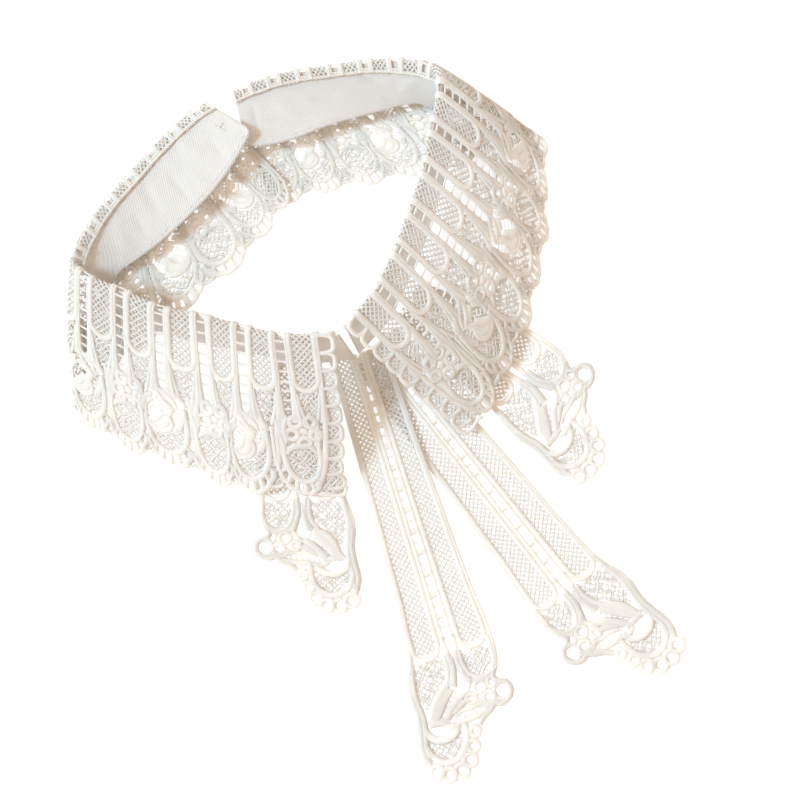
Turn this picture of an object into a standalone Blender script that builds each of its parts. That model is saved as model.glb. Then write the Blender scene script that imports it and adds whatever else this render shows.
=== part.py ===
"""A false collar of corded lace with a twill neckband and four lace tails.

It lies on its back. The back of the collar and the tails rest on the surface, and the
front wings slope down over them from the fold. Every piece is cut flat, with its gaps,
and is then laid on the surface that its section table describes.

Lengths are in millimetres until a solid is finished: x to the right, y towards the back
of the neck, z up, from the middle of the front fold. The section tables count x outwards
from the middle.
"""
import math

import bmesh
import bpy
import numpy as np
from mathutils import Vector
from mathutils.geometry import delaunay_2d_cdt

MM = 0.001

# Cloth
LACE_THICK = 1.2
TWILL_THICK = 1.0
SEAM_GAP = 0.3
ROLL = TWILL_THICK / 2 + SEAM_GAP + LACE_THICK / 2    # fold's radius, at the lace's middle

# Distance from the front fold's middle to the middle of the whole collar
CENTRE_X = -1.05
CENTRE_Y = -31.95

# Lace fall, cut flat: along the fold from the front edge, and down from the fold
LADDER_PITCH = 14.54
FIRST_LADDER = 18.5
LADDER_COUNT = 13
FALL_LENGTH = FIRST_LADDER + (LADDER_COUNT - 0.5) * LADDER_PITCH
FALL_DEPTH = 61.0
LIP_TOP = -5.8            # the edge of the lace that is turned over the neckband
VALLEY_DEPTH = 55.0       # between two scallops

# Lengths along the fold between which it turns round the side, and turns most
SIDE_TURN = (84.0, 126.0)
TIGHT_TURN = (88.0, 110.0)

# Neckband, cut flat
STAND_START = {"left": -1.6, "right": 0.2}    # the front ends of the two almost meet
STAND_HEIGHT = 25.0
STAND_CORNER = 3.0

# Sections of the two halves, a row for each ladder and each end. x counts outwards.
# fold: the visible edge, with z at the roll's middle. hem: the scallops' tips.
# bow: how far the fall swells between them. settle and power: how soon it comes down.
# stand: the neckband's lower edge. At the back the left half lies over the right one.
COLUMNS = ("along", "fold_x", "fold_y", "fold_z", "hem_x", "hem_y", "hem_z",
           "bow", "settle", "power", "stand_x", "stand_y", "stand_z")
SECTIONS = {
    "left": (
        (0.0, 2.6, 1.8, 25.5, 24.5, -53.3, 3.6, 1.5, 1.00, 1.0, 2.0, -8.6, 6.0),
        (18.5, 19.8, 10.4, 24.5, 40.7, -44.3, 3.4, 2.0, 1.00, 1.0, 18.8, -1.2, 5.2),
        (33.0, 30.2, 19.4, 23.0, 55.8, -35.6, 2.9, 2.2, 1.00, 1.0, 30.0, 8.0, 4.6),
        (47.6, 41.0, 29.5, 21.5, 65.9, -27.4, 1.6, 2.4, 1.00, 1.0, 41.5, 17.5, 4.2),
        (62.1, 52.6, 38.9, 19.5, 77.4, -12.6, 1.0, 2.6, 1.00, 1.0, 53.0, 27.6, 3.8),
        (76.7, 61.9, 51.1, 17.2, 88.2, -1.8, 1.0, 2.6, 1.00, 1.0, 63.6, 39.5, 3.4),
        (91.2, 70.6, 61.9, 14.5, 95.8, 12.2, 1.9, 2.4, 1.00, 1.1, 68.0, 50.0, 3.2),
        (98.5, 73.2, 68.0, 12.2, 99.0, 17.5, 2.5, 2.2, 1.00, 1.2, 65.6, 54.6, 3.8),
        (105.7, 71.3, 71.6, 9.8, 97.0, 23.0, 1.1, 1.2, 0.90, 1.4, 61.4, 57.2, 4.8),
        (120.3, 62.3, 78.7, 5.8, 82.0, 26.0, 0.6, 0.4, 0.60, 1.8, 54.0, 58.6, 5.6),
        (134.8, 52.6, 83.9, 3.6, 63.5, 30.0, 0.6, 0.0, 0.50, 2.0, 44.3, 59.9, 6.6),
        (149.4, 42.1, 87.8, 2.5, 43.9, 34.6, 0.7, 0.0, 0.40, 2.0, 33.5, 62.3, 7.6),
        (163.9, 31.3, 91.8, 2.2, 22.3, 38.9, 1.2, 0.0, 0.40, 2.0, 22.3, 65.5, 8.6),
        (178.5, 20.7, 95.0, 2.6, 5.8, 45.4, 2.1, 0.0, 0.40, 2.0, 11.5, 69.8, 9.6),
        (193.0, 10.1, 97.2, 3.2, -4.3, 50.8, 2.1, 0.0, 0.40, 2.0, 0.0, 76.3, 10.6),
        (200.3, 4.3, 97.4, 3.5, -9.0, 54.0, 2.1, 0.0, 0.40, 2.0, -5.0, 79.9, 11.0),
    ),
    "right": (
        (0.0, 0.9, 2.2, 25.5, 18.7, -53.6, 3.6, 1.5, 1.00, 1.0, 1.2, -8.2, 6.0),
        (18.5, 17.6, 9.6, 24.8, 36.0, -47.5, 3.4, 2.2, 1.00, 1.0, 18.0, -1.6, 5.2),
        (33.0, 29.8, 18.4, 24.0, 47.9, -38.2, 2.9, 2.6, 1.00, 1.0, 29.8, 7.4, 4.6),
        (47.6, 40.8, 28.2, 22.8, 61.6, -27.4, 1.8, 3.0, 1.00, 1.0, 41.4, 16.8, 4.2),
        (62.1, 51.9, 38.9, 21.0, 72.0, -15.1, 1.2, 3.4, 1.00, 1.0, 52.8, 27.8, 3.8),
        (76.7, 61.2, 50.6, 18.6, 82.1, -2.5, 1.2, 3.6, 1.00, 1.0, 63.4, 39.8, 3.4),
        (91.2, 70.2, 61.2, 15.4, 88.6, 10.8, 2.0, 3.4, 1.00, 1.1, 68.6, 50.4, 3.2),
        (98.5, 73.0, 67.6, 12.8, 92.9, 18.0, 2.6, 2.8, 1.00, 1.2, 67.2, 55.6, 3.8),
        (105.7, 71.3, 71.6, 10.0, 96.5, 26.3, 2.3, 1.4, 0.95, 1.4, 63.4, 59.6, 4.8),
        (120.3, 62.3, 78.7, 5.8, 84.0, 31.0, 0.6, 0.4, 0.60, 1.8, 56.4, 62.8, 5.8),
        (134.8, 52.6, 83.9, 3.4, 65.5, 33.5, 0.6, 0.0, 0.50, 2.0, 48.0, 64.7, 6.8),
        (149.4, 42.1, 87.8, 2.4, 49.0, 38.2, 0.6, 0.0, 0.40, 2.0, 38.2, 67.0, 7.8),
        (163.9, 31.3, 91.8, 2.0, 33.8, 42.6, 0.6, 0.0, 0.40, 2.0, 27.8, 68.9, 8.4),
        (178.5, 20.7, 94.8, 2.0, 18.5, 47.8, 0.6, 0.0, 0.40, 2.0, 16.8, 70.2, 8.4),
        (193.0, 10.0, 96.4, 2.0, 5.0, 50.6, 0.6, 0.0, 0.40, 2.0, 6.6, 73.0, 8.0),
        (200.3, 5.0, 96.6, 2.0, -2.0, 52.0, 0.6, 0.0, 0.40, 2.0, 1.2, 75.6, 7.8),
    ),
}

# Gaps in the fall
LADDER_TOP = 3.6
LADDER_CELL = (3.2, 4.3)          # width and height of one gap
LADDER_CELL_PITCH = 5.2
LADDER_CELLS = 5
EYELET_RADIUS_TO = 9.6            # from a scallop's middle to its eyelets
SCALLOP_MIDDLE = 48.0
EYELET_ANGLES = (-40, 0, 40)
EYELET_SIZE = (3.4, 2.6)
FRONT_SQUARES = ((4.6, 5.4), (4.3, 11.8))
FRONT_SQUARE_SIZE = (3.4, 4.2)

# Tails, cut flat: s across from the axis towards the paisley's side, d down from the root
TAIL_EDGE = (
    (11.5, 33.6), (12.9, 63.4), (14.0, 90.5), (15.0, 105.0), (16.2, 112.0), (18.6, 118.0),
    (19.8, 124.0), (19.4, 131.0), (20.4, 137.5), (21.7, 143.5), (21.0, 148.5), (20.7, 152.6),
    (18.6, 156.2), (14.5, 157.4), (11.6, 158.2), (7.9, 158.1), (4.9, 155.0), (2.6, 152.8),
    (0.4, 150.0), (-0.6, 147.5), (-1.3, 144.8), (-3.0, 140.4), (-5.5, 138.0), (-8.3, 136.6),
    (-10.6, 134.8), (-13.2, 135.4), (-16.4, 134.0), (-17.7, 131.2), (-16.6, 128.4),
    (-13.9, 127.2), (-12.7, 125.2), (-14.2, 122.5), (-15.4, 119.0), (-16.0, 113.0),
    (-15.6, 104.0), (-14.3, 90.5), (-12.9, 63.4), (-11.5, 33.6),
)
TAIL_ROOT = {"long": (10.5, 0.03), "short": (7.5, 0.235)}    # half width, and growth down
SHORT_TAIL_STARTS = 63.4
PAD_LINE = 119.0
END_LENGTH = {"long": 1.0, "short": 0.91}     # the patterned end, beyond the pad line
# Gaps at a tail's end: middle s and d, width, height, turn in degrees
TAIL_GAPS = (
    (0.9, 111.5, 3.0, 4.4, 0), (1.2, 125.8, 2.8, 2.6, 30), (-4.9, 126.9, 3.2, 2.9, 0),
    (-13.4, 131.2, 5.0, 5.0, 0), (-7.3, 133.4, 3.4, 3.2, 0), (14.0, 137.4, 4.3, 2.0, 30),
    (18.2, 151.4, 2.8, 2.2, 60), (9.2, 153.6, 3.6, 2.4, -10), (4.6, 150.6, 2.6, 2.4, 30),
    (2.6, 145.4, 2.6, 1.9, 70),
)
SLIT_SIZE = (1.5, 4.8)
SLIT_PITCH = 8.0
SLIT_FIRST = 28.0
SLIT_LAST = 104.0

# Where the tails hang from: the fan of four is a little right of the fold's middle.
FAN_MIDDLE = 4.1
# root_x outwards from the fan's middle, root_y, degrees from straight down, root height,
# rest height, first d of the cut, side of the paisley (1 is outwards)
TAILS = {
    "tail_long_left": (-1, 3.2, -8.0, 10.6, 4.7, 2.1, 0.0, 1),
    "tail_long_right": (1, 3.2, -8.0, 10.6, 3.2, 0.6, 0.0, 1),
    "tail_short_left": (-1, 23.1, -0.8, 27.5, 4.2, 0.6, SHORT_TAIL_STARTS, -1),
    "tail_short_right": (1, 22.4, 0.4, 27.5, 4.2, 0.6, SHORT_TAIL_STARTS, -1),
}
ROOT_RUN = 20.0           # how far a root takes to come down to the surface
LIFT_ENDS = (-62.0, -88.0)     # the upper long tail comes down between these y

GRID_STEP = 0.5
GRID_START = -2.6


def clear_scene():
    for thing in list(bpy.data.objects):
        bpy.data.objects.remove(thing, do_unlink=True)


def cloth_material(name, colour, roughness):
    material = bpy.data.materials.new(name)
    material.use_nodes = True
    shader = material.node_tree.nodes["Principled BSDF"]
    shader.inputs["Base Color"].default_value = (*colour, 1.0)
    shader.inputs["Roughness"].default_value = roughness
    shader.inputs["Metallic"].default_value = 0.0
    return material


def read_sections(rows, along):
    """Each named column of the table, as a smooth curve read at the lengths along."""
    table = np.array(rows)
    knots = table[:, 0]
    slopes = np.gradient(table, knots, axis=0)
    span = np.clip(np.searchsorted(knots, along) - 1, 0, len(knots) - 2)
    width = knots[span + 1] - knots[span]
    t = ((along - knots[span]) / width)[:, None]
    inside = np.clip(t, 0.0, 1.0)
    overrun = (t - inside) * width[:, None]
    start, end = table[span], table[span + 1]
    start_slope, end_slope = slopes[span] * width[:, None], slopes[span + 1] * width[:, None]
    blend = inside**2 * (3 - 2 * inside)
    values = start + blend * (end - start) + inside * (1 - inside)**2 * start_slope
    values -= inside**2 * (1 - inside) * end_slope
    edge_slope = np.where(t < 0, slopes[span], slopes[span + 1])
    values = values + overrun * edge_slope
    return {name: values[:, i] for i, name in enumerate(COLUMNS)}


def unit(vectors):
    return vectors / np.linalg.norm(vectors, axis=-1, keepdims=True)


def dot(a, b):
    return (a * b).sum(axis=-1, keepdims=True)


class Surface:
    """A cloth's middle surface over its flat cut, read from a fine grid of places."""

    def __init__(self, first_u, first_v, places, outward, mirrored):
        across = np.gradient(places, axis=0)
        down = np.gradient(places, axis=1)
        normals = outward * unit(np.cross(across, down))
        self.first = (first_u, first_v)
        self.grid = np.concatenate([places, normals], axis=2)
        self.mirrored = mirrored

    def place(self, u, v, w):
        u, v = (u - self.first[0]) / GRID_STEP, (v - self.first[1]) / GRID_STEP
        i = int(min(max(u, 0), self.grid.shape[0] - 2))
        j = int(min(max(v, 0), self.grid.shape[1] - 2))
        a, b = u - i, v - j
        g = self.grid
        mixed = ((1 - a) * (1 - b) * g[i, j] + a * (1 - b) * g[i + 1, j]
                 + (1 - a) * b * g[i, j + 1] + a * b * g[i + 1, j + 1])
        normal = mixed[3:] / np.linalg.norm(mixed[3:])
        x, y, z = mixed[:3] + w * normal
        return (-x if self.mirrored else x, y, max(z, 0.0))


def half_surfaces(side):
    """The fall's and the neckband's middle surfaces for one half of the collar."""
    along = np.arange(GRID_START, FALL_LENGTH + 1.0, GRID_STEP)
    row = read_sections(SECTIONS[side], along)

    def column(prefix):
        return np.stack([row[prefix + axis] for axis in "_x _y _z".split()], axis=1)

    fold, hem, stand = column("fold"), column("hem"), column("stand")
    tangent = unit(np.gradient(fold, axis=0))
    drop = np.stack([hem[:, 0] - fold[:, 0], hem[:, 1] - fold[:, 1],
                     -(fold[:, 2] - hem[:, 2]) * row["power"] / row["settle"]], axis=1)
    band = stand - fold
    fall_way = unit(drop - dot(drop, tangent) * tangent)
    band_way = unit(band - dot(band, tangent) * tangent)
    bisector = unit(fall_way + band_way)
    middle = fold + ROLL * bisector * np.array([1.0, 1.0, 0.0])
    fall_out = -unit(band_way - dot(band_way, fall_way) * fall_way)
    band_out = -unit(fall_way - dot(fall_way, band_way) * band_way)
    sweep = math.pi - np.arccos(np.clip(dot(fall_way, band_way), -1, 1))
    half_roll = ROLL * sweep / 2

    down = np.arange(LIP_TOP - 1.0, FALL_DEPTH + 2.0, GRID_STEP)
    places = np.zeros((len(along), len(down), 3))
    start = middle + ROLL * fall_out
    for j, v in enumerate(down):
        angle = np.clip(sweep / 2 - v / ROLL, 0, sweep)
        around = middle + ROLL * (np.cos(angle) * fall_out - np.sin(angle) * fall_way)
        lip = np.clip(-v - half_roll, 0, None) * unit(band)
        t = np.clip((v - half_roll) / (FALL_DEPTH - half_roll), 0, None)
        settled = np.clip(1 - t / row["settle"][:, None], 0, 1) ** row["power"][:, None]
        straight = (hem - start) * t
        straight[:, 2:] = (start[:, 2:] - hem[:, 2:]) * (settled - 1)
        swell = row["bow"][:, None] * 4 * t * np.clip(1 - t, 0, 1) * fall_out
        places[:, j] = around + lip + np.where(t > 0, straight + swell, 0.0)
    fall = Surface(along[0], down[0], places, -1, side == "left")

    height = np.arange(-1.0, STAND_HEIGHT + 1.0, GRID_STEP)
    rise = stand - middle
    places = middle[:, None] + rise[:, None] * (height / STAND_HEIGHT)[None, :, None]
    band = Surface(along[0], height[0], places, 1, side == "left")
    return fall, band


def gap_shape(middle_u, middle_v, width, height, turn=0.0, sides=4):
    """A gap's corners: a rectangle for four sides, or a round with more."""
    corners = []
    for i in range(sides):
        angle = 2 * math.pi * (i + 0.5) / sides
        reach = math.sqrt(2) if sides == 4 else 1.0
        x = math.cos(angle) * reach * width / 2
        y = math.sin(angle) * reach * height / 2
        c, s = math.cos(math.radians(turn)), math.sin(math.radians(turn))
        corners.append((middle_u + x * c - y * s, middle_v + x * s + y * c))
    return corners


def inside_polygon(point, polygon):
    x, y = point
    found = False
    for (x0, y0), (x1, y1) in zip(polygon, polygon[1:] + polygon[:1]):
        if (y0 > y) != (y1 > y) and x < x0 + (y - y0) * (x1 - x0) / (y1 - y0):
            found = not found
    return found


def near_edge(point, polygon, clearance):
    here = Vector(point)
    for a, b in zip(polygon, polygon[1:] + polygon[:1]):
        a, b = Vector(a), Vector(b)
        t = max(0.0, min(1.0, (here - a).dot(b - a) / (b - a).length_squared))
        if (a + t * (b - a) - here).length < clearance:
            return True
    return False


def cut_cloth(name, outline, gaps, inner_points, surface, thickness, material):
    """Cut a flat plate with its gaps, and lay its points on the surface."""
    points, edges = [], []
    for loop in [outline] + gaps:
        first = len(points)
        points += [Vector(corner) for corner in loop]
        edges += [(first + i, first + (i + 1) % len(loop)) for i in range(len(loop))]
    for point in inner_points:
        if not inside_polygon(point, outline) or near_edge(point, outline, 0.8):
            continue
        if any(inside_polygon(point, gap) or near_edge(point, gap, 0.9) for gap in gaps):
            continue
        points.append(Vector(point))
    flat_points, _, triangles, *_ = delaunay_2d_cdt(points, edges, [], 0, 1e-5)

    mesh_maker = bmesh.new()
    corners = [mesh_maker.verts.new((p.x, p.y, -thickness / 2)) for p in flat_points]
    for triangle in triangles:
        centre = sum((flat_points[i] for i in triangle), Vector((0, 0))) / 3
        if inside_polygon(centre, outline) and not any(inside_polygon(centre, gap) for gap in gaps):
            mesh_maker.faces.new([corners[i] for i in triangle])
    loose = [corner for corner in corners if not corner.link_faces]
    bmesh.ops.delete(mesh_maker, geom=loose, context="VERTS")
    raised = bmesh.ops.extrude_face_region(mesh_maker, geom=mesh_maker.faces[:])
    top = [item for item in raised["geom"] if isinstance(item, bmesh.types.BMVert)]
    bmesh.ops.translate(mesh_maker, vec=(0, 0, thickness), verts=top)
    for corner in mesh_maker.verts:
        x, y, z = surface(*corner.co)
        corner.co = ((x - CENTRE_X) * MM, (y - CENTRE_Y) * MM, z * MM)
    bmesh.ops.triangulate(mesh_maker, faces=mesh_maker.faces[:])
    bmesh.ops.recalc_face_normals(mesh_maker, faces=mesh_maker.faces[:])

    mesh = bpy.data.meshes.new(name)
    mesh_maker.to_mesh(mesh)
    mesh_maker.free()
    mesh.shade_smooth()
    mesh.set_sharp_from_angle(angle=math.radians(40))
    mesh.materials.append(material)
    piece = bpy.data.objects.new(name, mesh)
    bpy.context.scene.collection.objects.link(piece)
    return piece


def ladder_places():
    return [FIRST_LADDER + k * LADDER_PITCH for k in range(LADDER_COUNT)]


def fold_columns():
    """Lengths along the fold that carry points: closer together round the side."""
    columns = []
    u = LADDER_PITCH / 4
    while u < FALL_LENGTH - 1.5:
        columns.append(u)
        tight, turning = TIGHT_TURN[0] < u < TIGHT_TURN[1], SIDE_TURN[0] < u < SIDE_TURN[1]
        u += 1.6 if tight else 2.4 if turning else LADDER_PITCH / 3
    return columns


def fall_outline():
    """The fall's cut: turned edge, back end, scallops, front corner and front edge."""
    outline = [(u, LIP_TOP) for u in [0.0] + fold_columns() + [FALL_LENGTH]]
    down_the_end = (-3.2, -2.1, -1.05, 0.0, 1.05, 2.1, 3.2, 8.0, 16.0, 24.0, 32.0, 40.0, 48.0)
    outline += [(FALL_LENGTH, v) for v in down_the_end]
    for middle in reversed(ladder_places()):
        for x in (1.0, 0.86, 0.62, 0.32, 0.0, -0.32, -0.62, -0.86):
            depth = VALLEY_DEPTH + (FALL_DEPTH - VALLEY_DEPTH) * (1 - abs(x) ** 2.4)
            outline.append((middle + x * LADDER_PITCH / 2, depth))
    outline += [(11.2, 55.8), (9.0, 58.6), (6.0, 60.0), (3.0, 59.3), (0.8, 56.5)]
    outline += [(0.0, v) for v in reversed(down_the_end)]
    return outline


def fall_gaps():
    gaps = [gap_shape(*middle, *FRONT_SQUARE_SIZE) for middle in FRONT_SQUARES]
    for middle in ladder_places():
        for cell in range(LADDER_CELLS):
            v = LADDER_TOP + LADDER_CELL[1] / 2 + cell * LADDER_CELL_PITCH
            gaps.append(gap_shape(middle, v, *LADDER_CELL))
        for turn in EYELET_ANGLES:
            u = middle + EYELET_RADIUS_TO * math.sin(math.radians(turn)) * 0.75
            v = SCALLOP_MIDDLE + EYELET_RADIUS_TO * math.cos(math.radians(turn))
            gaps.append(gap_shape(u, v, *EYELET_SIZE, -turn, 5))
    return gaps


def fall_inner_points():
    points = [(u, v) for u in fold_columns() for v in (-3.2, -2.1, -1.05, 0.0, 1.05, 2.1, 3.0)]
    for u in np.arange(FIRST_LADDER / 2 - LADDER_PITCH / 4, FALL_LENGTH, LADDER_PITCH / 2):
        points += [(u, v) for v in (9.0, 16.0, 23.0, 31.0, 38.0, 45.0, 51.0)]
    for u in np.arange(*SIDE_TURN, LADDER_PITCH / 4):
        points += [(u, v) for v in (7.0, 12.5, 19.5, 26.5, 34.5, 41.5, 48.0)]
    return points


def make_fall(side, surface, material):
    return cut_cloth("fall_" + side, fall_outline(), fall_gaps(), fall_inner_points(),
                     surface.place, LACE_THICK, material)


def make_stand(side, surface, material):
    """Half of the neckband, with its back end's corners rounded."""
    start, end, top = STAND_START[side], FALL_LENGTH, 0.1
    columns = [u for u in fold_columns() if u < end - STAND_CORNER - 1]
    cut = STAND_CORNER * (1 - math.cos(math.pi / 4))
    outline = [(u, top) for u in [start] + columns]
    outline += [(end - STAND_CORNER, top), (end - cut, top + cut), (end, top + STAND_CORNER)]
    outline += [(end, 12.0), (end, STAND_HEIGHT - STAND_CORNER), (end - cut, STAND_HEIGHT - cut),
                (end - STAND_CORNER, STAND_HEIGHT)]
    outline += [(u, STAND_HEIGHT) for u in reversed([start] + columns)]
    outline += [(start, 12.0)]
    inner = [(u, v) for u in columns for v in (6.0, 12.0, 18.5)]
    return cut_cloth("stand_" + side, outline, [], inner, surface.place, TWILL_THICK, material)


def ease(t):
    t = max(0.0, min(1.0, t))
    return t * t * (3 - 2 * t)


def make_tail(name, material):
    side, root_x, root_y, turn, root_z, rest_z, first_d, paisley = TAILS[name]
    angle = math.radians(turn)
    kind = "short" if first_d > 0 else "long"
    root_half, growth = TAIL_ROOT[kind]

    def down_to(d):
        return d if d < PAD_LINE else PAD_LINE + (d - PAD_LINE) * END_LENGTH[kind]

    edge = [(s, down_to(d)) for s, d in TAIL_EDGE if d > first_d + 1]
    rows = [d for d in np.arange(first_d + 3.0, first_d + ROOT_RUN + 2, 4.0)]
    rows_down = [d for d in rows if not any(abs(d - e[1]) < 2 for e in edge)]
    down = [(root_half + growth * (d - first_d), d) for d in rows_down]
    up = [(-s, d) for s, d in reversed(down)]
    outline = [(-root_half, first_d), (root_half, first_d)]
    outline += sorted(down + [e for e in edge[:3] if e[0] > 0], key=lambda e: e[1])
    kept = [e for e in edge if e not in outline]
    late = [e for e in kept[-3:] if e[0] < 0]
    outline += kept[:-3] + sorted(up + late, key=lambda e: -e[1])

    gaps = []
    for d in np.arange(SLIT_FIRST, SLIT_LAST, SLIT_PITCH):
        if d > first_d + 4:
            gaps.append(gap_shape(0.9, d, *SLIT_SIZE))
    for s, d, width, height, gap_turn in TAIL_GAPS:
        sides = 8 if min(width, height) > 4 else 6
        gaps.append(gap_shape(s, down_to(d), width, height, gap_turn, sides))
    inner = [(s, d) for s in (-6.0, 0.9, 6.5) for d in rows]
    inner += [(s, d) for s in (-7.0, 7.5) for d in np.arange(first_d + 30, 158, 7.0)]
    inner += [(s, d) for s in (14.0, 1.0) for d in (121.0, 134.0, 145.0)]

    def lay(s, d, w):
        s, d = paisley * s, d - first_d
        out = root_x + d * math.sin(angle) + s * math.cos(angle)
        y = root_y - d * math.cos(angle) + s * math.sin(angle)
        fall = max(0.0, 1 + (y - root_y) / ROOT_RUN) if y < root_y else 1.0
        lowered = ease((LIFT_ENDS[0] - y) / (LIFT_ENDS[0] - LIFT_ENDS[1]))
        lift = (rest_z - LACE_THICK / 2) * (1 - lowered)
        z = LACE_THICK / 2 + lift + (root_z - rest_z) * fall**2
        return (FAN_MIDDLE + side * out, y, max(z + w, 0.0))

    return cut_cloth(name, outline, gaps, inner, lay, LACE_THICK, material)


def main():
    clear_scene()
    materials = {
        "fall": cloth_material("lace_fall", (0.86, 0.84, 0.79), 0.85),
        "stand": cloth_material("twill_stand", (0.82, 0.80, 0.78), 0.80),
        "tail": cloth_material("lace_tail", (0.86, 0.84, 0.79), 0.85),
    }
    for side in ("left", "right"):
        fall, band = half_surfaces(side)
        make_fall(side, fall, materials["fall"])
        make_stand(side, band, materials["stand"])
    for name in TAILS:
        make_tail(name, materials["tail"])


main()
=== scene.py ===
"""The looks of a false collar of corded lace with a twill neckband and four lace tails.

Every cord, bar, mesh thread and satin stretch of the lace is drawn flat, as curves, and is
then laid on the same surface as the solid that it replaces. Lengths are in millimetres
until a piece is finished: along the fold and down from it on the fall and the neckband,
across and down on a tail.
"""
import math

import bmesh
import bpy
import numpy as np
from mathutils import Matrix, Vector


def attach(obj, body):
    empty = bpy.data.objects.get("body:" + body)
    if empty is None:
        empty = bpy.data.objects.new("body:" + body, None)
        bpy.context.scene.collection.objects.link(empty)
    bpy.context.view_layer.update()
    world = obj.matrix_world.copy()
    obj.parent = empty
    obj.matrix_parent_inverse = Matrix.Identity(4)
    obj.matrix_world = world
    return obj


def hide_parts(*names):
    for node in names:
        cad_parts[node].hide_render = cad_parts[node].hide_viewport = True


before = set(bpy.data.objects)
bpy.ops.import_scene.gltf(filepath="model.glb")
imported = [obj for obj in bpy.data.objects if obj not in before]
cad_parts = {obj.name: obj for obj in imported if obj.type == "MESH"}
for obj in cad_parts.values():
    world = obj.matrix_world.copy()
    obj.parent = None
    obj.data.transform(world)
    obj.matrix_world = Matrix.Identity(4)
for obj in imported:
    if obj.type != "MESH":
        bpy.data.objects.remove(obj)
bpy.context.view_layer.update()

MM = 0.001

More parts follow.
